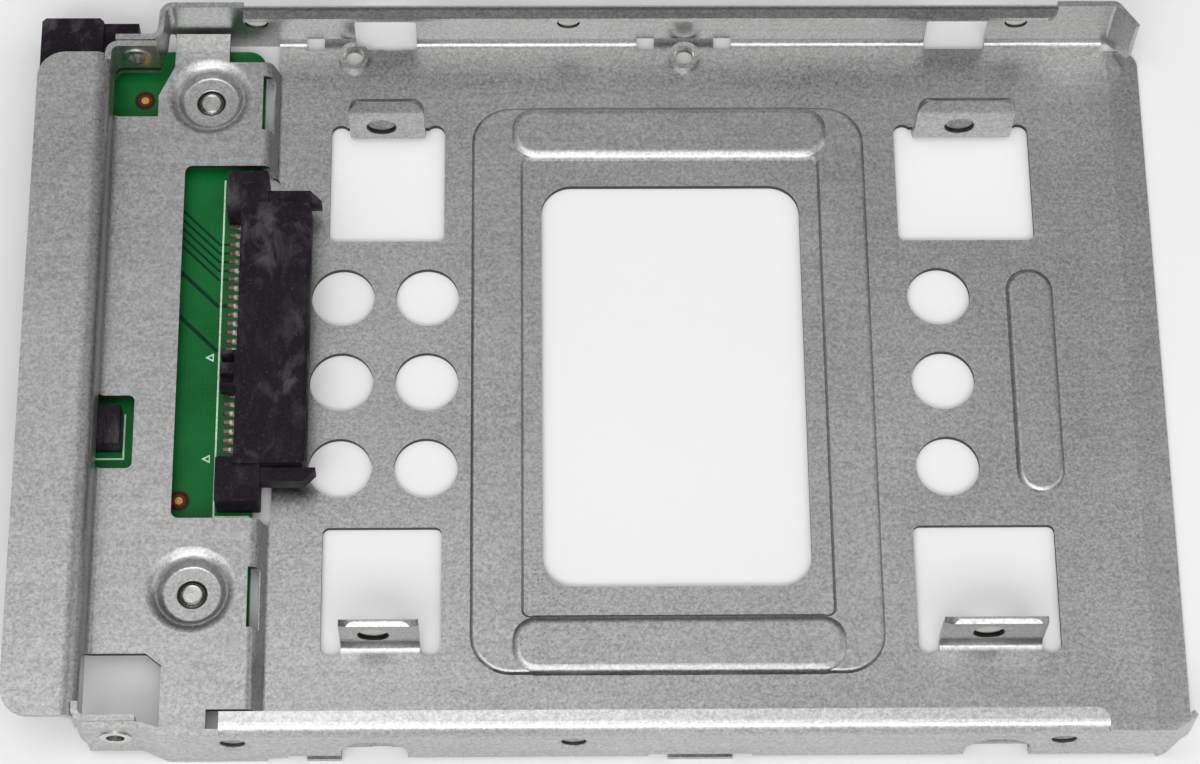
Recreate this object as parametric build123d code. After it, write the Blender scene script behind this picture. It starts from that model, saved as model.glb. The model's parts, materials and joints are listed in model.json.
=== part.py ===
from build123d import *
import os

os.makedirs("parts", exist_ok=True)

# A carrier that holds a 2.5-inch drive in a 3.5-inch bay: one bent steel tray, and an adapter
# board with the drive's receptacle facing forward and the bay's plug at the rear.
#
# Distances along X are measured from the rear (connector) end and along Z from the underside.
# Y = 0 is the middle of the tray. Each shape moves back by half the length when it is written.

# ------------------------------------------------------------------ driving sizes (mm)
LENGTH = 147.0                  # 3.5-inch drive length
WIDTH = 101.6                   # 3.5-inch drive width
SHEET = 0.8                     # steel sheet thickness
WALL_TOP = 10.5                 # bare edge of the side walls
LIP_TOP = 11.0                  # walls folded over at the top
WALL_Y = (WIDTH - SHEET) / 2    # middle of the wall's thickness

# raised shelf over the board, the step down to the plate and the rear flange
SHELF_TOP = 4.45
STEP_FOOT_X = 31.3              # where the step meets the plate
STEP_HEAD_X = 30.2              # where the step meets the shelf
UPRIGHT_X = 9.5                 # middle of the upright behind the shelf
FLANGE_REAR_X = 0.4
FLANGE_ENDS_Y = (-48.1, 43.4)
FLANGE_CORNER = 3.6
SHELF_HALF = 49.4
RECEPTACLE_WINDOW_X = (19.6, 31.9)
RECEPTACLE_WINDOW_Y = (-20.2, 29.6)

# folded lips on the walls, and the walls' front ends, which turn inward
LIP_X = (27.1, 135.2)
LIP_WIDTH = 2.9
LIP_RISE = 0.3                  # the lips aren't folded quite flat
PLATE_END_X = 142.3             # the walls leave the plate here
FRONT_HALF = 48.6               # half width of the plate beyond the walls
FLAP_ENDS = {-1: (145.8, 48.5), 1: (145.6, 46.9)}   # front ends of the walls, mid thickness
FLAP_CUTS = {-1: 4.0, 1: 2.3}   # height of the cut-away lower corner at those ends

# mounting holes of the two drive sizes
SIDE_HOLES_X = (28.5, 70.1, 130.1)
SIDE_HOLE_Z = 6.35
BOTTOM_HOLES_X = (41.28, 85.73)
BOTTOM_HOLE_Y = 47.625
ACCESS_NOTCHES_X = (45.6, 122.3)    # in the walls, for a screwdriver at the tabs
TAB_HOLES_X = (45.3, 121.9)     # 76.6 apart, as on a 2.5-inch drive
TAB_HOLE_Z = 4.55
SMALL_DRIVE_WIDTH = 69.85
TAB_FACE_Y = SMALL_DRIVE_WIDTH / 2 + 0.28

# openings of the plate
TAB_WINDOWS_X = ((38.5, 53.6), (113.5, 131.5))
TAB_WIDTHS = (9.9, 12.9)
TAB_WINDOW_Y = (20.2, 36.2)
TAB_BEND = 1.5
RELIEF = 2.5                    # slot each side of a tab
BIG_WINDOW_X = (66.4, 100.5)
BIG_WINDOW_HALF = 28.3
ROUND_HOLES_X = (40.5, 51.5, 118.36)
ROUND_HOLE_PITCH = 12.05
ROUND_HOLE_DIAMETER = 8.2

# raised frame round the big window, and the raised rib in front of it
FRAME_X = (57.2, 109.4)
FRAME_HALF = 40.0
FRAME_INNER_X = (64.0, 103.0)
FRAME_INNER_HALF = 32.2
EMBOSS = 0.42
BAR_HEIGHT = 0.33               # end bars above the frame: the small drive rests on them
BAR_LENGTH = 42.6
RIB_HEIGHT = 0.55
PRESS_SLOPE = 40                # degrees from upright
PRESS_INSET = 0.55              # hollow underneath, in from the raised outline
RIB_X = (127.2, 133.4)
RIB_HALF = 15.9

# adapter board
BOARD_X = (8.4, 29.6)
BOARD_Y = (-36.5, 48.2)
BOARD_TOP = 1.7
BOARD_THICKNESS = 1.0
SCREWS = ((22.5, 40.0), (22.5, -29.75))
SCREW_DIAMETER = 3.0

# the two connectors share one contact layout
PITCH = 1.27
SIGNAL_START = -14.65           # first signal contact, from the connector's middle
POWER_START = -0.68             # first power contact
SIGNAL_COUNT = 7
POWER_COUNT = 15
TONGUE_HALF = 17.6
CONTACT = 0.16                  # contact strip thickness
CONTACT_WIDTH = 0.42

# receptacle for the small drive
RECEPTACLE_Y = 4.8
RECEPTACLE_X = (27.35, 36.4)
RECEPTACLE_HALF = 18.4
RECEPTACLE_TOP = 6.6
END_BLOCKS_REAR_X = {-1: 25.05, 1: 25.4}
SLOT_Z = (4.3, 5.7)

# plug for the drive bay
PLUG_Y = 20.3
PLUG_HALF = 30.4
PLUG_TOP = 6.5
PLUG_BACK_X = 8.2
EAR_TOP = 5.0
TONGUE_Z = (2.9, 4.1)

# metal pegs that lock the connectors to the board
LOCK_DIAMETER = 1.5
LOCK_DEPTH = 0.9
LOCK_GRIP = 2.0
RECEPTACLE_LOCKS = ((27.6, RECEPTACLE_Y - 20.2), (27.6, RECEPTACLE_Y + 20.2))
PLUG_LOCKS = ((10.6, PLUG_Y - 28.0), (10.6, PLUG_Y + 26.6))

# copper and print on the board
FOIL = 0.05                     # pads and dots
MASKED = 0.035                  # tracks under the solder mask
FOOT_Z = BOARD_TOP + FOIL + CONTACT / 2
PLUG_PADS_X = (8.9, 10.5)
RECEPTACLE_PADS_X = (25.4, 27.0)
FIDUCIALS = ((13.6, 40.8), (20.25, -16.8))
LINE = 0.22                     # printed line width
PRINT_X = 24.8                  # line behind the receptacle

# hollow rivets that hold the doubled sheet at the rear corners: X, middle Y and Z
EYELETS = ((14.3, -48.9, 6.8), (12.9, 45.2, 7.2))
EYELET_BARREL = 3.0
EYELET_STACK = 2 * SHEET + 0.1

HALF = SHEET / 2
PLATE_MID = SHEET / 2
SHELF_MID = SHELF_TOP - HALF
SIDES = (-1, 1)
TALL = 40.0                     # longer than any depth that a cutter needs


# ------------------------------------------------------------------ helpers
def sheet_section(points, radius, thickness=SHEET):
    """Closed outline of bent sheet round a middle line with rounded bends."""
    middle = FilletPolyline(*points, radius=radius)
    left = offset(middle, amount=thickness / 2, side=Side.LEFT, closed=False).wire()
    right = offset(middle, amount=thickness / 2, side=Side.RIGHT, closed=False).wire()
    return make_face([left, right, Line(left @ 0, right @ 1), Line(left @ 1, right @ 0)])


def along_x(face, x_start, x_end):
    """A section drawn in Y and Z, drawn out from one X to another."""
    return extrude(Plane.YZ.offset(x_start) * face, x_end - x_start)


def along_y(face, y_start, y_end):
    """A section drawn in X and Z, drawn out from one Y to another."""
    return extrude(Plane.XZ.offset(-y_start) * face, y_start - y_end)


def along_z(face, z_start, z_end):
    """A plan drawn in X and Y, drawn out from one Z to another."""
    return extrude(Plane.XY.offset(z_start) * face, z_end - z_start)


def block(x, y, z, corner=0.0):
    """A box between two X, two Y and two Z, with rounded upright corners."""
    width, depth = abs(x[1] - x[0]), abs(y[1] - y[0])
    plan = RectangleRounded(width, depth, corner) if corner else Rectangle(width, depth)
    return along_z(Pos(sum(x) / 2, sum(y) / 2) * plan, z[0], z[1])


def hole_y(x, z, diameter, y_start, y_end):
    """A round cutter along Y."""
    return along_y(Pos(x, z) * Circle(diameter / 2), y_start, y_end)


def hole_z(x, y, diameter, z_start=-TALL, z_end=TALL):
    """A round cutter along Z."""
    return along_z(Pos(x, y) * Circle(diameter / 2), z_start, z_end)


def group(shapes):
    """Several separate solids kept as one node."""
    return Compound([solid for shape in shapes for solid in shape.solids()])


# ------------------------------------------------------------------ tray
def channel():
    """Plate and both side walls, bent from one sheet."""
    corners = [(-WALL_Y, WALL_TOP), (-WALL_Y, PLATE_MID), (WALL_Y, PLATE_MID), (WALL_Y, WALL_TOP)]
    body = along_x(sheet_section(corners, 1.2), STEP_FOOT_X, PLATE_END_X)
    corner = 2.2
    nose = block((PLATE_END_X - 10, LENGTH), (-FRONT_HALF, FRONT_HALF), (0, SHEET), corner)
    return body + nose


def wall_lip(side):
    """The top of one wall folded inward over most of its length."""
    inner = WIDTH / 2 - LIP_WIDTH
    outer_z, inner_z = LIP_TOP - HALF - LIP_RISE, LIP_TOP - HALF
    points = [(side * WALL_Y, 6.0), (side * WALL_Y, outer_z), (side * inner, inner_z)]
    lip = along_x(sheet_section(points, 1.3), *LIP_X)
    corner, spare = 1.8, 10
    plan = RectangleRounded(LIP_X[1] - LIP_X[0] + spare, 2 * spare, corner)
    place = Pos((LIP_X[0] + LIP_X[1] - spare) / 2, side * (inner + spare))
    return lip & along_z(place * plan, 0, LIP_TOP + 1)


def wall_front(side):
    """Front end of one wall, turned inward, with its lower corner cut away."""
    end_x, end_y = FLAP_ENDS[side]
    cut = FLAP_CUTS[side]
    plan = sheet_section(
        [(PLATE_END_X, side * WALL_Y), (143.1, side * WALL_Y), (end_x, side * end_y)], 0.9)
    flap = along_z(plan, 0, WALL_TOP)
    low_corner = make_face(Polyline(
        (142.5, -1), (142.5, 0.3), (end_x - 0.3, cut), (LENGTH + 1, cut), (LENGTH + 1, -1), close=True))
    return flap - along_y(low_corner, -TALL * 2, TALL * 2)


def shelf_and_flange():
    """Step up from the plate, shelf with its openings and dimples, upright and rear flange."""
    path = [(STEP_FOOT_X + 2, PLATE_MID), (STEP_FOOT_X, PLATE_MID), (STEP_HEAD_X, SHELF_MID)]
    shelf = along_y(sheet_section(path + [(12.0, SHELF_MID)], 0.75), -SHELF_HALF, SHELF_HALF)
    flange_z = WALL_TOP - HALF
    rear = path[-1:] + [(UPRIGHT_X, SHELF_MID), (UPRIGHT_X, flange_z), (FLANGE_REAR_X, flange_z)]
    rear[0] = (14.0, SHELF_MID)
    upright = along_y(sheet_section(rear, [1.2, 1.7]), *FLANGE_ENDS_Y)
    outline = block((FLANGE_REAR_X, 30), FLANGE_ENDS_Y, (0, LIP_TOP), FLANGE_CORNER)
    body = shelf + (upright & outline)
    dimple, reach = screw_dimple()
    for x, y in SCREWS:
        body = body - hole_z(x, y, 2 * reach, 3, 5) + Pos(x, y) * dimple
    for cut in shelf_openings():
        body = body - cut
    return body


def rear_corner(side, wall_path, tab_path, wall_low, tab_low):
    """Where the rear corner closes: the wall's end lies outside a tab turned from the upright."""
    wall = along_z(sheet_section(wall_path, 1.3), 0, WALL_TOP)
    tab = along_z(sheet_section(tab_path, 1.3), tab_low, WALL_TOP - 0.2)
    end_x = min(point[0] for point in wall_path)
    bend_x = max(point[0] for point in wall_path[2:])
    under = make_face(Polyline(
        (end_x - 1, -1), (bend_x + 3.2, -1), (bend_x + 3.2, 0), (bend_x, wall_low),
        (end_x - 1, wall_low), close=True))
    wall -= along_y(under, side * 30, side * 60)
    return wall + tab


def rear_corners():
    """Both rear corners. The left one is set in, which leaves room for the plug's end."""
    right = rear_corner(
        -1,
        [(STEP_FOOT_X + 1, -WALL_Y), (20.4, -WALL_Y), (17.2, -49.35), (10.6, -49.35)],
        [(UPRIGHT_X, -46.3), (UPRIGHT_X, -48.45), (16.9, -48.45)],
        1.4, 1.4)
    left = rear_corner(
        1,
        [(STEP_FOOT_X + 1, WALL_Y), (16.5, WALL_Y), (16.2, 45.65), (10.4, 45.65)],
        [(UPRIGHT_X, 42.4), (UPRIGHT_X, 44.75), (15.8, 44.75)],
        5.3, 3.0)
    wall_stub = block((17.4, STEP_FOOT_X + 1), (WALL_Y - HALF, WALL_Y + HALF), (0, WALL_TOP))
    return right + left + wall_stub


def shelf_openings():
    """Cut-outs of the shelf: connector, board ends, plug ear, and clearance beside the walls."""
    depth = (3.2, 5.35)
    receptacle = block(RECEPTACLE_WINDOW_X, RECEPTACLE_WINDOW_Y, (-1, SHELF_TOP + 1), 1.0)
    ear_window = block((8.6, 14.4), (-13.4, -3.35), depth, 0.8)
    rear_left = make_face(Polyline(
        (8, 36.96), (15.7, 36.96), (15.7, 40.1), (17.7, 44.5), (17.7, 51), (8, 51), close=True))
    rear_right = make_face(Polyline(
        (8, -38.2), (17.25, -38.2), (19.2, -39.8), (19.2, -51), (8, -51), close=True))
    front_left = block((24.9, STEP_FOOT_X + 3), (45.1, 49.9), (-1, SHELF_TOP + 1))
    front_right = block((24.9, STEP_FOOT_X + 3), (-49.9, -45.5), (-1, SHELF_TOP + 1))
    cuts = [receptacle, ear_window, front_left, front_right]
    cuts += [along_z(rear_left, *depth), along_z(rear_right, *depth)]
    for _, y in SCREWS:
        cuts.append(block((29.5, 31.0), (y - 5.0, y + 3.0), (SHEET + 0.2, SHELF_TOP + 1)))
    return cuts


def screw_dimple():
    """Shelf pressed down onto the board, with the hole that the screw threads into."""
    floor_mid = BOARD_TOP + HALF
    reach = 6.6
    bore = SCREW_DIAMETER / 2 + 0.05
    path = [(reach, SHELF_MID), (4.9, SHELF_MID), (3.9, floor_mid), (bore, floor_mid)]
    section = sheet_section(path, [1.4, 0.7])
    bowl = revolve(Plane.XZ * section, Axis.Z)
    top = (Align.CENTER, Align.CENTER, Align.MAX)
    rim = Pos(0, 0, BOARD_TOP + SHEET) * Cone(bore, bore + 0.4, 0.35, align=top)
    return bowl - rim, reach


def drive_tab(side, middle_x, hole_x, width):
    """Tab bent up from the plate, with a flared lead-in at its top and a screw hole."""
    middle_y = TAB_FACE_Y + HALF
    top = 9.8
    path = [(side * 39.0, PLATE_MID), (side * middle_y, PLATE_MID), (side * middle_y, 8.2),
            (side * (middle_y + 0.75), top)]
    tab = along_x(sheet_section(path, [TAB_BEND, 1.5]), middle_x - width / 2, middle_x + width / 2)
    corner = 2.0
    face_height = top + 6
    front_view = Pos(middle_x, top + 0.1 - face_height / 2) * RectangleRounded(width, face_height, corner)
    root = block((middle_x - width / 2, middle_x + width / 2), (side * 30, side * 45), (-1, SHEET))
    tab = (tab & along_y(front_view, -TALL * 2, TALL * 2)) + (tab & root)
    return tab - hole_y(hole_x, TAB_HOLE_Z, 4.0, side * 30, side * 45)


def tab_window(side, x_range):
    """Opening that a tab was bent from, with round-ended relief slots at its root."""
    opening = block(x_range, (side * TAB_WINDOW_Y[0], side * TAB_WINDOW_Y[1]), (-1, 2), 0.9)
    squared = block(x_range, (side * 30, side * TAB_WINDOW_Y[1]), (-1, 2))
    inset = RELIEF - 0.3
    bend_zone = block(
        (x_range[0] + inset, x_range[1] - inset), (side * 30, side * (TAB_FACE_Y + HALF + TAB_BEND)), (-1, 2))
    reliefs = [
        hole_z(x, side * TAB_WINDOW_Y[1], RELIEF, -1, 2)
        for x in (x_range[0] + RELIEF / 2, x_range[1] - RELIEF / 2)]
    return [opening, squared, bend_zone] + reliefs


def pressed(plan, height, corner=0.0):
    """Raised metal over a plan, and the hollow that pressing it leaves underneath."""
    raised = extrude(Pos(0, 0, SHEET) * plan, height, taper=PRESS_SLOPE)
    if corner:
        raised = fillet(raised.faces().sort_by(Axis.Z)[-1].edges(), corner)
    under = extrude(offset(plan, amount=-PRESS_INSET), height, taper=PRESS_SLOPE)
    return raised, under


def pressed_areas():
    """Raised frame with its two end bars, and the raised rib: metal to add and hollows to cut."""
    middle_x = sum(FRAME_X) / 2
    frame_plan = Pos(middle_x, 0) * RectangleRounded(FRAME_X[1] - FRAME_X[0], 2 * FRAME_HALF, 5.2)
    inner_w, inner_d = FRAME_INNER_X[1] - FRAME_INNER_X[0], 2 * FRAME_INNER_HALF
    inner_x = Pos(sum(FRAME_INNER_X) / 2, 0)
    inner_plan = RectangleRounded(inner_w, inner_d, 0.8)
    under_plan = RectangleRounded(inner_w + 2 * PRESS_INSET, inner_d + 2 * PRESS_INSET, 1.2)
    island = extrude(Pos(0, 0, SHEET) * inner_x * inner_plan, EMBOSS, taper=-PRESS_SLOPE)
    keep = extrude(inner_x * under_plan, EMBOSS, taper=-PRESS_SLOPE)
    raised, hollow = pressed(frame_plan, EMBOSS, 0.5)
    metal, hollows = [raised - island], [hollow - keep]

    overlap = 0.1
    bar_plan = RectangleRounded(BAR_LENGTH, FRAME_HALF - FRAME_INNER_HALF + 2 * overlap, 3.4)
    for side in SIDES:
        place = Pos(middle_x + 0.2, side * (FRAME_HALF + FRAME_INNER_HALF) / 2)
        bar, under = pressed(place * bar_plan, EMBOSS + BAR_HEIGHT, 1.4)
        metal.append(bar)
        hollows.append(under)

    rib_plan = Pos(sum(RIB_X) / 2, 0) * Rot(0, 0, 90) * SlotOverall(2 * RIB_HALF, RIB_X[1] - RIB_X[0])
    rib, under = pressed(rib_plan, RIB_HEIGHT, 0.6)
    metal.append(rib)
    hollows.append(under)
    return metal, hollows


def bottom_hole(side, x):
    """Threaded bottom hole: a wall notch, a flat tongue out to the wall's face, and a drawn collar."""
    notch_half, tongue_half = 6.4, 4.0
    notch = block((x - notch_half, x + notch_half), (side * 48.9, side * 52), (-1, 2.1))
    tongue = block((x - tongue_half, x + tongue_half), (side * 48.2, side * WIDTH / 2), (0, SHEET))
    collar = hole_z(x, side * BOTTOM_HOLE_Y, 4.1, 0, SHEET + 0.95)
    bore = hole_z(x, side * BOTTOM_HOLE_Y, 2.75, -1, 4)
    return notch, tongue + collar, bore


def tray_stamping():
    body = channel() + shelf_and_flange() + rear_corners()
    for side in SIDES:
        body = body - block(LIP_X, (side * 49.9, side * 52), (8.0, LIP_TOP + 1))
        body = body + wall_lip(side) + wall_front(side)

    metal, hollows = pressed_areas()
    for piece in metal:
        body = body + piece
    for hollow in hollows:
        body = body - hollow

    body = body - block(RECEPTACLE_WINDOW_X, RECEPTACLE_WINDOW_Y, (-1, SHEET + 0.5), 1.0)
    for side in SIDES:
        for x_range, hole_x, width in zip(TAB_WINDOWS_X, TAB_HOLES_X, TAB_WIDTHS):
            for cut in tab_window(side, x_range):
                body = body - cut
            body = body + drive_tab(side, sum(x_range) / 2, hole_x, width)
        for x in BOTTOM_HOLES_X:
            notch, metal, bore = bottom_hole(side, x)
            body = body - notch + metal - bore

    body = body - block(BIG_WINDOW_X, (-BIG_WINDOW_HALF, BIG_WINDOW_HALF), (-1, 2), 4.0)
    for x in ROUND_HOLES_X:
        for row in (-1, 0, 1):
            body = body - hole_z(x, row * ROUND_HOLE_PITCH, ROUND_HOLE_DIAMETER)

    for side in SIDES:
        inside, outside = side * 48, side * 52
        for x in SIDE_HOLES_X:
            body = body - hole_y(x, SIDE_HOLE_Z, 3.1, inside, outside)
            sink = Cone(2.1, 1.45, 0.35, align=(Align.CENTER, Align.CENTER, Align.MIN))
            body = body - Pos(x, side * WIDTH / 2, SIDE_HOLE_Z) * Rot(side * 90, 0, 0) * sink

    half, arch_z, top_z = 4.1, 3.2, 6.6
    for x in ACCESS_NOTCHES_X:
        right = (-49.0, -52.0)
        body = body - hole_y(x, arch_z, 2 * half, *right) - block((x - half, x + half), right, (-1, arch_z))
        left = along_y(Pos(x, (top_z - 2) / 2) * RectangleRounded(2 * half, top_z + 2, 0.6), 49.0, 52.0)
        body = body - left

    slope_start, drop = 142.8, 0.4
    lead_in = make_face(Polyline(
        (slope_start, SHEET), (LENGTH + 0.5, SHEET - drop), (LENGTH + 0.5, SHEET + 0.3),
        (slope_start, SHEET + 0.3), close=True))
    body = body - along_y(lead_in, -FRONT_HALF + 0.3, FRONT_HALF - 0.3)
    for x, y, z in EYELETS:
        body = body - hole_y(x, z, EYELET_BARREL, y - 2, y + 2)
    return body


def corner_eyelet(x, y, z):
    """Hollow rivet with a thin rolled head on each face."""
    head, head_thickness, bore = 3.9, 0.2, 2.3
    reach = EYELET_STACK / 2
    body = hole_y(x, z, EYELET_BARREL, y - reach, y + reach)
    for side in SIDES:
        start, end = y + side * reach, y + side * (reach + head_thickness)
        body = body + hole_y(x, z, head, min(start, end), max(start, end))
    return body - hole_y(x, z, bore, y - 3, y + 3)


# ------------------------------------------------------------------ board
def adapter_board():
    """Bare board under the shelf, with holes for its two screws and the connectors' locks."""
    board = block(BOARD_X, BOARD_Y, (BOARD_TOP - BOARD_THICKNESS, BOARD_TOP), 2.4)
    for x, y in SCREWS:
        board = board - hole_z(x, y, SCREW_DIAMETER + 0.3)
    for x, y in RECEPTACLE_LOCKS + PLUG_LOCKS:
        board = board - hole_z(x, y, LOCK_DIAMETER)
    return board


def board_screw(x, y):
    """Wafer-head screw driven up through the board into the shelf's dimple."""
    under = BOARD_TOP - BOARD_THICKNESS
    head_thickness, head_diameter, socket = 0.6, 5.2, 1.5
    tip = BOARD_TOP + SHEET - 0.05
    shank = hole_z(x, y, SCREW_DIAMETER, under, tip)
    shank = chamfer(shank.edges().filter_by(GeomType.CIRCLE).sort_by(Axis.Z)[-1], 0.35)
    head = hole_z(x, y, head_diameter, under - head_thickness, under)
    cross = Rectangle(socket * 1.6, 0.45) + Rectangle(0.45, socket * 1.6)
    recess = along_z(Pos(x, y) * cross, under - head_thickness, under - head_thickness + 0.4)
    return shank + head - recess


def board_lock(x, y, body_height):
    """Split metal peg that is pressed into the housing and holds it to the board."""
    top = BOARD_TOP + body_height
    peg = hole_z(x, y, LOCK_DIAMETER, BOARD_TOP - LOCK_DEPTH, top)
    slit = block((x - 0.15, x + 0.15), (y - 1, y + 1), (BOARD_TOP - LOCK_DEPTH - 0.1, BOARD_TOP - 0.1))
    return peg - slit


def fiducial(x, y):
    """Round copper dot that the assembly machine sights on."""
    return hole_z(x, y, 1.0, BOARD_TOP, BOARD_TOP + FOIL)


# ------------------------------------------------------------------ contacts
def contact_rows(middle_y):
    """Y of each contact: the signal row, then the power row."""
    signal = [middle_y + SIGNAL_START + PITCH * i for i in range(SIGNAL_COUNT)]
    power = [middle_y + POWER_START + PITCH * i for i in range(POWER_COUNT)]
    return signal, power


def receptacle_contact(y):
    """Spring in the slot, through the housing, then down to a foot on its pad."""
    path = [(25.6, FOOT_Z), (26.8, FOOT_Z), (27.1, 2.6), (30.9, 4.45), (34.2, 4.8), (35.2, 4.5)]
    section = sheet_section(path, [0.2, 0.25, 0.6, 0.6], CONTACT)
    return along_y(section, y - CONTACT_WIDTH / 2, y + CONTACT_WIDTH / 2)


def plug_contact(y):
    """Flat strip on the underside of the tongue, then down to a foot on its pad."""
    strip_z = TONGUE_Z[0] - CONTACT / 2
    path = [(1.4, strip_z), (7.6, strip_z), (8.6, FOOT_Z), (10.3, FOOT_Z)]
    section = sheet_section(path, 0.3, CONTACT)
    return along_y(section, y - CONTACT_WIDTH / 2, y + CONTACT_WIDTH / 2)


def pads(x_range, rows):
    """Solder pads under one connector's feet."""
    width = 0.8
    return group(block(x_range, (y - width / 2, y + width / 2), (BOARD_TOP, BOARD_TOP + FOIL)) for y in rows)


# ------------------------------------------------------------------ receptacle for the small drive
def guide_arm(side):
    """Arm beside the slot, with its outer front corner cut back."""
    inner, outer = RECEPTACLE_Y + side * 18.65, RECEPTACLE_Y + side * 20.5
    plan = make_face(Polyline(
        (29.8, inner), (37.7, inner), (37.7, outer - side * 1.5), (36.2, outer), (29.8, outer), close=True))
    return along_z(plan, 3.3, 5.6)


def receptacle_housing(contacts):
    """One moulding: body with the mating slots, two end blocks, guide arms and a rear key block."""
    y0 = RECEPTACLE_Y
    body = block(
        RECEPTACLE_X, (y0 - RECEPTACLE_HALF, y0 + RECEPTACLE_HALF),
        (BOARD_TOP, RECEPTACLE_TOP))
    front = body.faces().sort_by(Axis.X)[-1]
    body = chamfer(front.edges(), 0.4)
    end_top = 5.9
    for side in SIDES:
        ends = sorted((y0 + side * 17.2, y0 + side * 23.25))
        rear = END_BLOCKS_REAR_X[side]
        body = body + block((rear, 30.7), ends, (BOARD_TOP, end_top), 0.3)
        body = body + guide_arm(side)
    body = body + block((25.2, 27.8), (-2.5, 2.5), (BOARD_TOP, 5.6))
    for y, floor_z in ((-1.5, 4.2), (1.35, 2.6)):
        body = body - block((24.0, 27.0), (y - 0.65, y + 0.65), (floor_z, 6.0))

    slot_rear_x = 30.6
    split = 0.9                 # middle of the wall between the two slots
    signal_slot = (y0 - TONGUE_HALF, split - 0.8)
    power_slot = (split + 0.8, y0 + TONGUE_HALF + 0.1)
    for y_range in (signal_slot, power_slot):
        body = body - block((slot_rear_x, 40), y_range, SLOT_Z)
        body = body - block((slot_rear_x, 34.6), (y_range[0] + 0.4, y_range[1] - 0.4), (3.7, SLOT_Z[0] + 0.1))
    for x, y in RECEPTACLE_LOCKS:
        body = body - hole_z(x, y, LOCK_DIAMETER, BOARD_TOP - 1, BOARD_TOP + LOCK_GRIP)
    tunnel, foot_half = 0.02, 0.45
    for y in contacts:
        body = body - block((24.0, 27.4), (y - foot_half, y + foot_half), (BOARD_TOP, 2.75))
        body = body - block(
            (26.0, slot_rear_x + 0.5), (y - CONTACT_WIDTH / 2 - tunnel, y + CONTACT_WIDTH / 2 + tunnel),
            (BOARD_TOP, 4.6))
    return body


# ------------------------------------------------------------------ plug for the drive bay
def plug_housing(contacts):
    """One moulding: shroud with the tongue, guide pockets at both ends and ears on the board."""
    y0 = PLUG_Y
    body = block((0, PLUG_BACK_X), (y0 - PLUG_HALF, y0 + PLUG_HALF), (0.3, PLUG_TOP), 0.0)
    body = chamfer(body.edges().filter_by(Axis.Z), 0.5)
    body = body - block((-1, 6.2), (y0 - 19.4, y0 + 19.4), (1.5, 5.5))
    body = body + block((0.7, 7.0), (y0 - TONGUE_HALF, y0 + TONGUE_HALF), TONGUE_Z)
    key_y = y0 + POWER_START - 3.2
    body = body + block((0.7, 7.0), (y0 - TONGUE_HALF, y0 - TONGUE_HALF + 1.1), (2.2, TONGUE_Z[1]))
    body = body - block((0.2, 6.2), (key_y - 0.9, key_y + 0.9), TONGUE_Z)
    for side in SIDES:
        pocket = sorted((y0 + side * 21.4, y0 + side * 28.6))
        body = body - block((-1, 6.4), pocket, (1.6, 5.2))
    right_ear = (y0 - PLUG_HALF, y0 - 25.1)
    left_ear = (45.25, y0 + PLUG_HALF)
    for ear in (right_ear, left_ear):
        body = body + block((PLUG_BACK_X - 0.5, 12.7), ear, (BOARD_TOP, EAR_TOP))
    for x, y in PLUG_LOCKS:
        body = body - hole_z(x, y, LOCK_DIAMETER, BOARD_TOP - 1, BOARD_TOP + LOCK_GRIP)
    tunnel = 0.02
    for y in contacts:
        body = body - block(
            (6.0, 9.0), (y - CONTACT_WIDTH / 2 - tunnel, y + CONTACT_WIDTH / 2 + tunnel),
            (BOARD_TOP, TONGUE_Z[0]))
    return body


# ------------------------------------------------------------------ printing and copper
def printed_lines():
    """Outline printed round each connector, and a small mark at each first contact."""
    z = (BOARD_TOP, BOARD_TOP + MASKED)
    low_y, high_y = -18.9, 28.8
    rear_x = 12.85
    strokes = [
        block((PRINT_X - LINE, PRINT_X), (low_y, high_y), z),
        block((PRINT_X - LINE, BOARD_X[1] - 0.4), (low_y - LINE, low_y), z),
        block((rear_x, rear_x + LINE), (-10.9, -4.8), z),
        block((8.8, rear_x + LINE), (-10.9 - LINE, -10.9), z)]
    signal, power = contact_rows(RECEPTACLE_Y)
    for y in (power[0] - 1.0, signal[0] - 1.2):
        mark = make_face(Polyline((22.9, y), (24.0, y + 0.6), (24.0, y - 0.6), close=True))
        mark = mark - make_face(Polyline((23.3, y), (23.85, y + 0.3), (23.85, y - 0.3), close=True))
        strokes.append(along_z(mark, *z))
    return group(strokes)


def copper_traces():
    """Tracks from power contacts of the receptacle towards the plug: five fine ones and two wide."""
    z = (BOARD_TOP, BOARD_TOP + MASKED)
    start_x, turn_x, end_x = RECEPTACLE_PADS_X[0], PRINT_X - LINE - 0.3, 12.6
    rows = contact_rows(RECEPTACLE_Y)[1]
    tracks = []
    for index, width in ((0, 0.5), (5, 0.5), (8, 0.32), (9, 0.32), (10, 0.32), (11, 0.32), (12, 0.32)):
        y = rows[index]
        path = Polyline((start_x, y), (turn_x, y), (end_x, y + turn_x - end_x))
        tracks.append(along_z(trace(path, width), *z))
    cutters = [printed_lines()] + [hole_z(x, y, 9.6) for x, y in SCREWS]
    return group(track - cutters for track in tracks)


# ------------------------------------------------------------------ write every node
def write(shape, name):
    """Put the origin under the middle of the tray and write one node."""
    export_step(Pos(-LENGTH / 2, 0, 0) * shape, f"parts/{name}.step")


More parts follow.
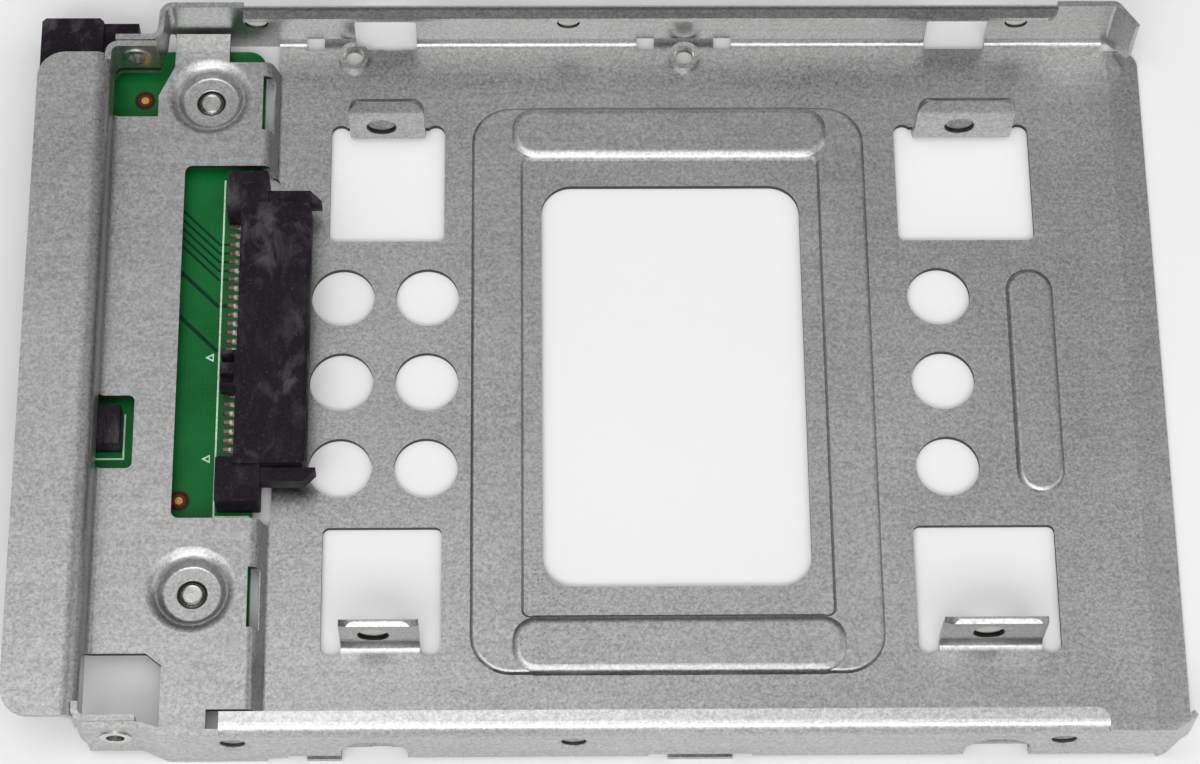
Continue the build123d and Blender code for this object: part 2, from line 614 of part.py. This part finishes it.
def main():
    receptacle_signal, receptacle_power = contact_rows(RECEPTACLE_Y)
    plug_signal, plug_power = contact_rows(PLUG_Y)

    write(tray_stamping(), "tray_stamping")
    for name, place in zip(("right", "left"), EYELETS):
        write(corner_eyelet(*place), f"corner_eyelet_{name}")

    write(adapter_board(), "adapter_board")
    for name, place in zip(("left", "right"), SCREWS):
        write(board_screw(*place), f"board_screw_{name}")
    for name, place in zip(("left", "right"), FIDUCIALS):
        write(fiducial(*place), f"fiducial_{name}")
    write(printed_lines(), "printed_lines")
    write(copper_traces(), "copper_traces")

    write(receptacle_housing(receptacle_signal + receptacle_power), "receptacle_housing")
    write(group(receptacle_contact(y) for y in receptacle_signal), "receptacle_signal_contacts")
    write(group(receptacle_contact(y) for y in receptacle_power), "receptacle_power_contacts")
    write(pads(RECEPTACLE_PADS_X, receptacle_signal + receptacle_power), "receptacle_pads")
    for name, place in zip(("right", "left"), RECEPTACLE_LOCKS):
        write(board_lock(*place, LOCK_GRIP), f"receptacle_lock_{name}")

    write(plug_housing(plug_signal + plug_power), "plug_housing")
    write(group(plug_contact(y) for y in plug_signal), "plug_signal_contacts")
    write(group(plug_contact(y) for y in plug_power), "plug_power_contacts")
    write(pads(PLUG_PADS_X, plug_signal + plug_power), "plug_pads")
    for name, place in zip(("right", "left"), PLUG_LOCKS):
        write(board_lock(*place, LOCK_GRIP), f"plug_lock_{name}")


main()
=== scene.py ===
"""Looks of the drive carrier: materials, small trim, floor, light and camera."""
import json
import math

import bmesh
import bpy
from mathutils import Matrix, Vector


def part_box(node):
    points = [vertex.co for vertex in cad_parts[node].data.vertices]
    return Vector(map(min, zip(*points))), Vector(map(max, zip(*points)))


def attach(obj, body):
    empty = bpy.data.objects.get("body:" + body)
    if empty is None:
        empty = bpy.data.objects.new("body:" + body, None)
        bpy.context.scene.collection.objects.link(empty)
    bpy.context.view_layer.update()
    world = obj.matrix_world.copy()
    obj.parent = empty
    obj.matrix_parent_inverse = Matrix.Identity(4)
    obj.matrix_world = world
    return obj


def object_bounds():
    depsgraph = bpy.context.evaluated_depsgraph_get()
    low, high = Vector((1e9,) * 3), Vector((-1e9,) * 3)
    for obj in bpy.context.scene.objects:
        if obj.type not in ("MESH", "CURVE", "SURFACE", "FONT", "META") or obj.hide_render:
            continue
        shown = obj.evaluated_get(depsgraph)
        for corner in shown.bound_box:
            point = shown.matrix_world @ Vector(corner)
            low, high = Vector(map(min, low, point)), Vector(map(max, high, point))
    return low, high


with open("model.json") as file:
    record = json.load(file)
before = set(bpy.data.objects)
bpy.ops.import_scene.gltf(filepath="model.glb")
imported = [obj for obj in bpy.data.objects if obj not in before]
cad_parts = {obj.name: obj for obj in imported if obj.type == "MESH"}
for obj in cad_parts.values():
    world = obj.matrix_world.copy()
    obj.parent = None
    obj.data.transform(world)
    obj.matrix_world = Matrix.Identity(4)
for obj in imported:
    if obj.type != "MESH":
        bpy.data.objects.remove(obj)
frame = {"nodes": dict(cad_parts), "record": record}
NODES = frame["nodes"]
cad_low, cad_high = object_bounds()
MM = 0.001


# ------------------------------------------------------------------ node helpers
class Graph:
    """One procedural material and short calls that add nodes to it."""

    def __init__(self, name, metallic=0.0, **constants):
        self.material = bpy.data.materials.new(name)
        self.material.use_nodes = True
        self.tree = self.material.node_tree
        self.shader = self.tree.nodes["Principled BSDF"]
        self.shader.inputs["Metallic"].default_value = metallic
        for socket, value in constants.items():
            self.shader.inputs[socket.replace("_", " ")].default_value = value
        self.object_coords = self.add("ShaderNodeTexCoord").outputs["Object"]

    def add(self, kind, links=None, **settings):
        made = self.tree.nodes.new(kind)
        for key, value in settings.items():
            setattr(made, key, value)
        for socket, value in (links or {}).items():
            self.put(made.inputs[socket], value)
        return made

    def put(self, socket, value):
        if isinstance(value, bpy.types.NodeSocket):
            self.tree.links.new(value, socket)
        else:
            socket.default_value = value

    def stretch(self, factors):
        """Object coordinates scaled by three factors, for streaks."""
        return self.add("ShaderNodeMapping", {"Vector": self.object_coords, "Scale": factors}).outputs[0]

    def noise(self, scale, detail=3.0, rough=0.55, coords=None, distortion=0.0):
        links = {"Vector": coords or self.object_coords, "Scale": scale, "Detail": detail,
                 "Roughness": rough, "Distortion": distortion}
        return self.add("ShaderNodeTexNoise", links).outputs["Fac"]

    def cell_distance(self, scale):
        links = {"Vector": self.object_coords, "Scale": scale}
        return self.add("ShaderNodeTexVoronoi", links).outputs["Distance"]

    def waves(self, scale, distortion, direction):
        links = {"Vector": self.object_coords, "Scale": scale, "Distortion": distortion}
        return self.add("ShaderNodeTexWave", links, bands_direction=direction).outputs["Fac"]

    def range(self, value, low, high, to_low=0.0, to_high=1.0):
        """The value mapped from one range to another, held inside it."""
        links = {"Value": value, "From Min": low, "From Max": high, "To Min": to_low, "To Max": to_high}
        return self.add("ShaderNodeMapRange", links).outputs["Result"]

    def math(self, operation, a, b=0.0):
        return self.add("ShaderNodeMath", {0: a, 1: b}, operation=operation).outputs[0]

    def blend(self, *terms):
        """Sum of values, each times its weight."""
        total = None
        for value, weight in terms:
            scaled = value if weight == 1.0 else self.math("MULTIPLY", value, weight)
            total = scaled if total is None else self.math("ADD", total, scaled)
        return total

    def mix(self, share, a, b):
        """Two colours mixed by a share."""
        made = self.add("ShaderNodeMix", data_type="RGBA")
        for index, value in ((0, share), (6, a), (7, b)):
            if index and not isinstance(value, bpy.types.NodeSocket):
                value = (*value, 1.0)
            self.put(made.inputs[index], value)
        return made.outputs[2]

    def bump(self, height, strength, distance, normal=None):
        links = {"Height": height, "Strength": strength, "Distance": distance}
        if normal:
            links["Normal"] = normal
        return self.add("ShaderNodeBump", links).outputs["Normal"]

    def finish(self, colour=None, roughness=None, normal=None):
        for socket, value in (("Base Color", colour), ("Roughness", roughness), ("Normal", normal)):
            if value is not None:
                self.put(self.shader.inputs[socket], value)
        return self.material

    def spot(self, centre, radius, soft):
        """1 inside a round spot of the board's plane, 0 outside it."""
        in_plan = {0: self.object_coords, 1: (1.0, 1.0, 0.0)}
        flat = self.add("ShaderNodeVectorMath", in_plan, operation="MULTIPLY").outputs[0]
        ends = {0: flat, 1: (centre[0], centre[1], 0.0)}
        away = self.add("ShaderNodeVectorMath", ends, operation="DISTANCE").outputs["Value"]
        return self.range(away, radius - soft, radius + soft, 1.0, 0.0)

    def within(self, value, low, high, soft):
        """1 between two limits, 0 beyond them."""
        rise = self.range(value, low - soft, low + soft)
        return self.math("MULTIPLY", rise, self.range(value, high - soft, high + soft, 1.0, 0.0))

    def axes(self, vector):
        return self.add("ShaderNodeSeparateXYZ", {"Vector": vector}).outputs

    def darken(self, share, colour, tint, roughness, rough):
        """Colour and roughness that turn to a tint and another roughness by a share."""
        lift = self.math("MULTIPLY", self.math("SUBTRACT", rough, roughness), share)
        return self.mix(share, colour, tint), self.math("ADD", roughness, lift)


def centre_of(node):
    low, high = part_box(node)
    return (low + high) / 2


# ------------------------------------------------------------------ materials
SHEET = 0.8 * MM
SHELF_TOP = 4.45 * MM
WALL_START = 48.0 * MM      # from the middle out to where the plate bends up into a wall
SOFT = 0.02 * MM            # width over which a mask fades


def cut_face_shade(g):
    """1 on the cut faces of the plate's and the shelf's openings, which are painted near-black as shade."""
    normal = g.axes(g.add("ShaderNodeNewGeometry").outputs["True Normal"])
    place = g.axes(g.object_coords)
    upright = g.range(g.math("ABSOLUTE", normal["Z"]), 0.15, 0.3, 1.0, 0.0)
    low = g.range(place["Z"], SHEET - SOFT, SHEET + SOFT, 1.0, 0.0)
    shelf = g.within(place["Z"], SHELF_TOP - SHEET, SHELF_TOP, SOFT)
    shelf_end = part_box("receptacle_housing")[1].x
    rearward = g.range(place["X"], shelf_end - 0.1 * MM, shelf_end, 1.0, 0.0)
    level = g.math("MAXIMUM", low, g.math("MULTIPLY", shelf, rearward))
    inside = g.range(g.math("ABSOLUTE", place["Y"]), WALL_START - 0.1 * MM, WALL_START + 0.1 * MM, 1.0, 0.0)
    return g.math("MULTIPLY", upright, g.math("MULTIPLY", level, inside))


def galvanised():
    """Zinc-coated sheet: fine skin-pass grain, faint rolling streaks, cloudy tone, light scuffs and painted
    shade on the cut faces of the openings.
    """
    g = Graph("galvanised_look", metallic=1.0)
    dark, light, rough = (0.345, 0.348, 0.345), (0.585, 0.588, 0.582), 0.34
    fine = g.noise(2800.0, 4.0, 0.7)
    medium = g.noise(1500.0, 3.0, 0.6)
    cloud = g.noise(38.0, 4.0, 0.55)
    streak = g.noise(1.0, 3.0, 0.6, g.stretch((45.0, 1300.0, 1300.0)))
    tone = g.blend((fine, 0.58), (medium, 0.23), (cloud, 0.10), (streak, 0.09))
    base = g.mix(g.range(tone, 0.41, 0.59), dark, light)
    scuff = g.noise(1.0, 4.0, 0.75, g.stretch((260.0, 90.0, 200.0)), 1.5)
    scuffs = g.range(scuff, 0.66, 0.76, 0.0, 0.55)
    base = g.mix(scuffs, base, tuple(min(1.0, c * 1.22) for c in light))
    pits = g.range(g.cell_distance(170.0), 0.018, 0.035, 1.0, 0.0)
    rare = g.range(g.noise(55.0, 2.0), 0.58, 0.62)
    base = g.mix(g.math("MULTIPLY", g.math("MULTIPLY", pits, rare), 0.5), base, tuple(c * 0.45 for c in dark))
    worn = g.blend((fine, 1.0), (cloud, 0.6))
    roughness = g.range(worn, 0.55, 1.05, rough - 0.07, rough + 0.09)
    height = g.blend((fine, 1.0), (medium, 0.8), (streak, 0.3))
    wavy = g.bump(g.noise(70.0, 2.0), 0.35, 0.25 * MM)
    # the cut faces of the openings get a near-black painted shade and a rougher finish
    edge_shade = cut_face_shade(g)
    base, roughness = g.darken(edge_shade, base, (0.085, 0.083, 0.080), roughness, 0.6)
    return g.finish(base, roughness, g.bump(height, 0.30, 0.04 * MM, wavy))


def plated():
    """Bright plated steel with a fine, patchy grain."""
    g = Graph("plated_look", metallic=1.0)
    dark, light = (0.50, 0.50, 0.48), (0.72, 0.72, 0.70)
    grain = g.noise(4200.0, 4.0, 0.7)
    patch = g.noise(700.0, 3.0)
    tone = g.blend((grain, 0.5), (patch, 0.5))
    base = g.mix(g.range(tone, 0.38, 0.62), dark, light)
    return g.finish(base, g.range(patch, 0.35, 0.65, 0.2, 0.36), g.bump(grain, 0.25, 0.02 * MM))


def solder_mask():
    """Green mask over woven laminate, with bare rings round the fiducial dots."""
    g = Graph("green_board_look", IOR=1.5, Specular_IOR_Level=0.18)
    weave = g.blend((g.waves(520.0, 1.5, "X"), 0.5), (g.waves(520.0, 1.5, "Y"), 0.5))
    cloud = g.noise(160.0, 3.0)
    speck = g.noise(2600.0, 3.0, 0.7)
    base = g.mix(g.range(cloud, 0.35, 0.65), (0.003, 0.105, 0.020), (0.005, 0.145, 0.030))
    base = g.mix(g.range(weave, 0.2, 0.9, 0.0, 0.22), base, (0.004, 0.19, 0.045))
    base = g.mix(g.range(speck, 0.55, 0.75, 0.0, 0.25), base, (0.0, 0.06, 0.012))
    for name in ("fiducial_left", "fiducial_right"):
        spot = centre_of(name)
        base = g.mix(g.spot(spot, 1.4 * MM, 0.15 * MM), base, (0.034, 0.011, 0.005))
        base = g.mix(g.spot(spot, 0.85 * MM, 0.15 * MM), base, (0.115, 0.030, 0.010))
    roughness = g.range(g.blend((cloud, 1.0), (speck, 0.5)), 0.5, 0.95, 0.26, 0.42)
    normal = g.bump(weave, 0.10, 0.03 * MM, g.bump(speck, 0.08, 0.02 * MM))
    return g.finish(base, roughness, normal)


def masked_copper():
    """The darker tracks that show through the mask."""
    g = Graph("masked_copper_look", IOR=1.5, Specular_IOR_Level=0.18)
    cloud = g.noise(260.0, 3.0)
    speck = g.noise(2600.0, 3.0, 0.7)
    base = g.mix(g.range(cloud, 0.35, 0.65), (0.0, 0.022, 0.010), (0.0, 0.036, 0.014))
    base = g.mix(g.range(speck, 0.5, 0.75, 0.0, 0.4), base, (0.0, 0.025, 0.008))
    return g.finish(base, g.range(speck, 0.3, 0.7, 0.25, 0.40), g.bump(speck, 0.08, 0.02 * MM))


def white_print():
    g = Graph("white_print_look", IOR=1.45)
    grain = g.noise(3200.0, 4.0, 0.75)
    base = g.mix(g.range(grain, 0.35, 0.62), (0.42, 0.62, 0.44), (0.80, 0.90, 0.78))
    return g.finish(base, g.range(grain, 0.3, 0.7, 0.5, 0.7), g.bump(grain, 0.2, 0.02 * MM))


def gold():
    g = Graph("gold_pad_look", metallic=1.0)
    grain = g.noise(3800.0, 4.0, 0.7)
    base = g.mix(g.range(grain, 0.35, 0.65), (0.42, 0.20, 0.045), (0.80, 0.50, 0.16))
    return g.finish(base, g.range(grain, 0.3, 0.7, 0.25, 0.45), g.bump(grain, 0.3, 0.03 * MM))


def tin(name, dark, light, rough):
    """Tin with brown flux stains, and dull where the receptacle's contacts are soldered down."""
    g = Graph(name, metallic=1.0)
    grain = g.noise(5200.0, 4.0, 0.7)
    flux = g.noise(900.0, 3.0, 0.6)
    base = g.mix(g.range(grain, 0.35, 0.65), dark, light)
    base = g.mix(g.range(flux, 0.52, 0.66, 0.0, 0.7), base, (0.18, 0.09, 0.055))
    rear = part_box("receptacle_power_contacts")[0].x
    feet = g.within(g.axes(g.object_coords)["X"], rear - 0.5 * MM, rear + 0.75 * MM, 0.1 * MM)
    level = g.range(grain, 0.3, 0.7, rough - 0.08, rough + 0.08)
    base, level = g.darken(g.math("MULTIPLY", feet, 0.75), base, (0.085, 0.045, 0.030), level, 0.5)
    return g.finish(base, level, g.bump(grain, 0.3, 0.03 * MM))


def black_moulding():
    """Glass-filled nylon: fine grain, pale scuffs and chalky patches on a purple-black."""
    g = Graph("black_moulding_look", IOR=1.5, Specular_IOR_Level=0.12)
    grain = g.noise(3400.0, 4.0, 0.75)
    blotch = g.noise(1.0, 6.0, 0.68, g.stretch((260.0, 130.0, 260.0)), 0.8)
    broad = g.noise(75.0, 3.0, 0.5)
    base = g.mix(g.range(grain, 0.3, 0.7), (0.0070, 0.0042, 0.0075), (0.0160, 0.0110, 0.0170))
    scuffed = g.math("MULTIPLY", g.range(blotch, 0.48, 0.70), g.range(broad, 0.40, 0.62))
    base = g.mix(g.math("MULTIPLY", scuffed, 0.9), base, (0.095, 0.086, 0.098))
    flecks = g.range(g.noise(2300.0, 4.0, 0.8), 0.58, 0.70, 0.0, 0.5)
    base = g.mix(flecks, base, (0.10, 0.092, 0.10))
    roughness = g.range(g.blend((blotch, 1.0), (grain, 0.4)), 0.5, 0.95, 0.42, 0.66)
    height = g.blend((grain, 1.0), (blotch, 0.8))
    return g.finish(base, roughness, g.bump(height, 0.35, 0.05 * MM))


def painted_shade_thread():
    """Near-black, rough steel: painted shade for the bottoms of threads and for gaps."""
    g = Graph("shaded_thread_look", metallic=1.0)
    grain = g.noise(3600.0, 4.0, 0.7)
    # these near-black tones are painted shade
    base = g.mix(g.range(grain, 0.35, 0.65), (0.030, 0.022, 0.020), (0.085, 0.070, 0.064))
    return g.finish(base, g.range(grain, 0.3, 0.7, 0.35, 0.6), g.bump(grain, 0.3, 0.03 * MM))


LOOKS = {
    "painted_shade_thread": painted_shade_thread(),
    "galvanised_sheet": galvanised(),
    "plated_steel": plated(),
    "green_board": solder_mask(),
    "masked_copper": masked_copper(),
    "white_print": white_print(),
    "gold_pad": gold(),
    "solder": tin("solder_look", (0.16, 0.12, 0.10), (0.42, 0.37, 0.33), 0.34),
    "tinned_contact": tin("contact_look", (0.60, 0.54, 0.50), (0.88, 0.82, 0.78), 0.28),
    "black_moulding": black_moulding(),
}
for part in frame["record"]["subparts"]:
    shown = NODES[part["node"]]
    shown.data.materials.clear()
    shown.data.materials.append(LOOKS[part["material_slot"]])


# ------------------------------------------------------------------ small trim
ROUND = 64                  # steps of a turned ring
SLEEVE = 0.02 * MM          # wall left behind a thread's root
BOTTOM_BORE = 1.375 * MM
SIDE_BORE = 1.525 * MM
TAB_BORE = 1.975 * MM
SCREW_TIP = 1.17 * MM


def piece(name, slot, build, look=None):
    """New part in the shared frame, filled by a function, with a look of its own."""
    data = bpy.data.meshes.new(name)
    shape = bmesh.new()
    build(shape)
    bmesh.ops.recalc_face_normals(shape, faces=shape.faces)
    shape.to_mesh(data)
    shape.free()
    made = bpy.data.objects.new(name, data)
    bpy.context.scene.collection.objects.link(made)
    data.materials.append(LOOKS[look or slot])
    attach(made, "root")


def add_ring(shape, centre, axis, profile):
    """Closed ring from a profile of radius and height, turned about an axis through a centre."""
    turn = Vector((0, 0, 1)).rotation_difference(Vector(axis)).to_matrix()
    loops = []
    for step in range(ROUND):
        angle = 2 * math.pi * step / ROUND
        points = [Vector((r * math.cos(angle), r * math.sin(angle), h)) for r, h in profile]
        loops.append([shape.verts.new(Vector(centre) + turn @ point) for point in points])
    count = len(profile)
    for step in range(ROUND):
        here, after = loops[step], loops[(step + 1) % ROUND]
        for index in range(count):
            following = (index + 1) % count
            shape.faces.new((here[index], after[index], after[following], here[following]))


def thread(outer, depth, low, high, turns):
    """Profile of a thread: ridges on one side of a thin sleeve; a negative depth points inward."""
    pitch = (high - low) / turns
    skin = outer - math.copysign(SLEEVE, depth)
    points = [(skin, low), (outer, low)]
    for turn in range(turns):
        points += [(outer + depth, low + (turn + 0.5) * pitch), (outer, low + (turn + 1) * pitch)]
    return points + [(skin, high)]


def screw_places(mount):
    """Every hole centre of a pattern with equal spacing."""
    dims, centre = mount["dims"], Vector(mount["pos_m"])
    half_x, half_y = (dims.get(f"spacing_{axis}_mm", 0) / 2 * MM for axis in "xy")
    offsets = [(x, y) for x in {-half_x, half_x} for y in {-half_y, half_y}]
    return sorted(tuple(centre + Vector((x, y, 0))) for x, y in offsets)


def hole_threads(shape):
    """Threads in the collars of the bottom holes."""
    for mount in frame["record"]["mounts"]:
        if mount["name"] == "bay_bottom_holes":
            for x, y, _ in screw_places(mount):
                add_ring(shape, (x, y, 0), (0, 0, 1), thread(BOTTOM_BORE, -0.16 * MM, 0.15 * MM, 1.7 * MM, 3))


def screw_threads(shape):
    """Thread on the screw ends that stand in the dimples."""
    for side in ("left", "right"):
        low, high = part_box(f"board_screw_{side}")
        centre = (low + high) / 2
        add_ring(shape, (centre.x, centre.y, 0), (0, 0, 1),
                 thread(SCREW_TIP, 0.12 * MM, high.z - 0.02 * MM, high.z + 0.28 * MM, 1))


def wall_hole_threads(shape):
    """Threads in the side holes and in the tabs' holes, dark with painted shade."""
    for mount in frame["record"]["mounts"]:
        outward = math.copysign(1.0, mount["pos_m"][1])
        if mount["name"].startswith(("bay_side", "bay_middle")):
            for x, _, z in screw_places(mount):
                add_ring(shape, (x, outward * cad_high.y, z), (0, -outward, 0),
                         thread(SIDE_BORE, -0.2 * MM, 0.38 * MM, 0.78 * MM, 1))
        if mount["name"].startswith("small_drive_holes"):
            for x, y, z in screw_places(mount):
                add_ring(shape, (x, y, z), (0, outward, 0),
                         thread(TAB_BORE, -0.2 * MM, 0.08 * MM, SHEET - 0.08 * MM, 2))


def dimple_gap_shade(shape):
    """Dark ring of painted shade in the gap between each screw end and the rim of its hole."""
    for side in ("left", "right"):
        low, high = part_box(f"board_screw_{side}")
        centre = (low + high) / 2
        top = high.z + 0.045 * MM
        profile = [(1.565 * MM, top - 0.22 * MM), (1.6 * MM, top - 0.22 * MM), (1.82 * MM, top - 0.03 * MM),
                   (1.70 * MM, top + 0.03 * MM)]
        add_ring(shape, (centre.x, centre.y, 0), (0, 0, 1), profile)


def islands(node):
    """Boxes of the separate bodies in a node."""
    shape = bmesh.new()
    shape.from_mesh(NODES[node].data)
    bmesh.ops.remove_doubles(shape, verts=shape.verts, dist=1e-7)
    place = NODES[node].matrix_world
    left, boxes = set(shape.verts), []          # a set, so the boxes are sorted at the end
    while left:
        reached, front = set(), [left.pop()]
        while front:
            vert = front.pop()
            reached.add(vert)
            for edge in vert.link_edges:
                other = edge.other_vert(vert)
                if other in left:
                    left.discard(other)
                    front.append(other)
        points = [place @ vert.co for vert in reached]
        boxes.append([[pick(point[axis] for point in points) for axis in range(3)] for pick in (min, max)])
    shape.free()
    return sorted(boxes)


def solder_fillets(shape):
    """Wedge of solder behind the foot of every receptacle contact."""
    foot_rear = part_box("receptacle_power_contacts")[0].x
    for low, high in islands("receptacle_pads"):
        middle = (low[1] + high[1]) / 2
        half = (high[1] - low[1]) * 0.36
        base, rise = high[2], 0.16 * MM
        rear = low[0] + 0.02 * MM
        section = [(rear, base), (foot_rear, base), (foot_rear, base + rise),
                   (rear + 0.6 * (foot_rear - rear), base + 0.3 * rise)]
        rows = [[shape.verts.new((x, y, z)) for x, z in section] for y in (middle - half, middle + half)]
        shape.faces.new(rows[0])
        shape.faces.new(rows[1][::-1])
        for index in range(4):
            following = (index + 1) % 4
            shape.faces.new((rows[0][index], rows[1][index], rows[1][following], rows[0][following]))


piece("bottom_hole_threads", "plated_steel", hole_threads)
piece("screw_end_threads", "plated_steel", screw_threads)
# dark rings coloured as painted shade in the wall and tab holes
piece("wall_hole_threads", "galvanised_sheet", wall_hole_threads, "painted_shade_thread")
# dark ring of painted shade in each dimple's gap
piece("dimple_gap_shade", "galvanised_sheet", dimple_gap_shade, "painted_shade_thread")
piece("solder_fillets", "solder", solder_fillets)


# ------------------------------------------------------------------ floor, light and camera
def floor_material():
    g = Graph("floor_look", IOR=1.4, Specular_IOR_Level=0.1)
    soft = g.noise(9.0, 3.0)
    dust = g.noise(900.0, 3.0, 0.7)
    base = g.mix(g.range(soft, 0.3, 0.7), (0.84, 0.84, 0.84), (0.87, 0.87, 0.87))
    base = g.mix(g.range(dust, 0.70, 0.76, 0.0, 0.10), base, (0.6, 0.6, 0.6))
    return g.finish(base, g.range(dust, 0.3, 0.7, 0.75, 0.9))


FLOOR_SIZE = 6.0
mesh = bpy.data.meshes.new("floor")
shape = bmesh.new()
bmesh.ops.create_grid(shape, x_segments=8, y_segments=8, size=FLOOR_SIZE / 2)
shape.to_mesh(mesh)
shape.free()
floor = bpy.data.objects.new("floor", mesh)
floor.location.z = cad_low.z - 0.02 * MM
mesh.materials.append(floor_material())
bpy.context.scene.collection.objects.link(floor)


def softbox(name, place, size, radiance, target=(0.0, 0.0, 0.0)):
    """Rectangular light at a place, turned to a target, of a given brightness."""
    lamp = bpy.data.lights.new(name, "AREA")
    lamp.shape = "RECTANGLE"
    lamp.size, lamp.size_y = size
    lamp.energy = radiance * math.pi * size[0] * size[1]
    made = bpy.data.objects.new(name, lamp)
    made.location = place
    made.rotation_euler = (Vector(target) - Vector(place)).to_track_quat("-Z", "Y").to_euler()
    bpy.context.scene.collection.objects.link(made)


softbox("front_light", (-0.05, -0.66, 0.70), (0.95, 0.32), 3.2)
softbox("top_light", (-0.15, -0.12, 1.05), (0.8, 0.55), 1.6)
softbox("right_light", (0.85, 0.10, 0.50), (0.5, 0.7), 0.8)

world = bpy.data.worlds.new("studio")
world.use_nodes = True
bpy.context.scene.world = world
tree = world.node_tree
background = tree.nodes["Background"]
direction = tree.nodes.new("ShaderNodeTexCoord").outputs["Generated"]
towards = tree.nodes.new("ShaderNodeVectorMath")
towards.operation = "DOT_PRODUCT"
towards.inputs[1].default_value = (-0.12, -0.62, 0.78)
tree.links.new(direction, towards.inputs[0])
level = tree.nodes.new("ShaderNodeMapRange")
for socket, value in (("From Min", 0.0), ("From Max", 1.0), ("To Min", 0.12), ("To Max", 1.04)):
    level.inputs[socket].default_value = value
tree.links.new(towards.outputs["Value"], level.inputs["Value"])
tree.links.new(level.outputs["Result"], background.inputs["Strength"])
background.inputs["Color"].default_value = (1.0, 1.0, 1.0, 1.0)

bpy.context.scene.view_settings.view_transform = "Standard"

EYE = Vector((-0.0079, -0.1822, 0.4125))
LOOK = Vector((0.01843, 0.40446, -0.91437)).normalized()
RIGHT = Vector((0.99982, -0.01057, 0.01548)).normalized()
camera_data = bpy.data.cameras.new("camera")
camera_data.sensor_width = 36.0
camera_data.lens = 104.43
camera_data.clip_start = 0.01
camera = bpy.data.objects.new("camera", camera_data)
up = (-LOOK).cross(RIGHT).normalized()
turn = Matrix((RIGHT, up, -LOOK)).transposed().to_4x4()
camera.matrix_world = Matrix.Translation(EYE) @ turn
bpy.context.scene.collection.objects.link(camera)
bpy.context.scene.camera = camera
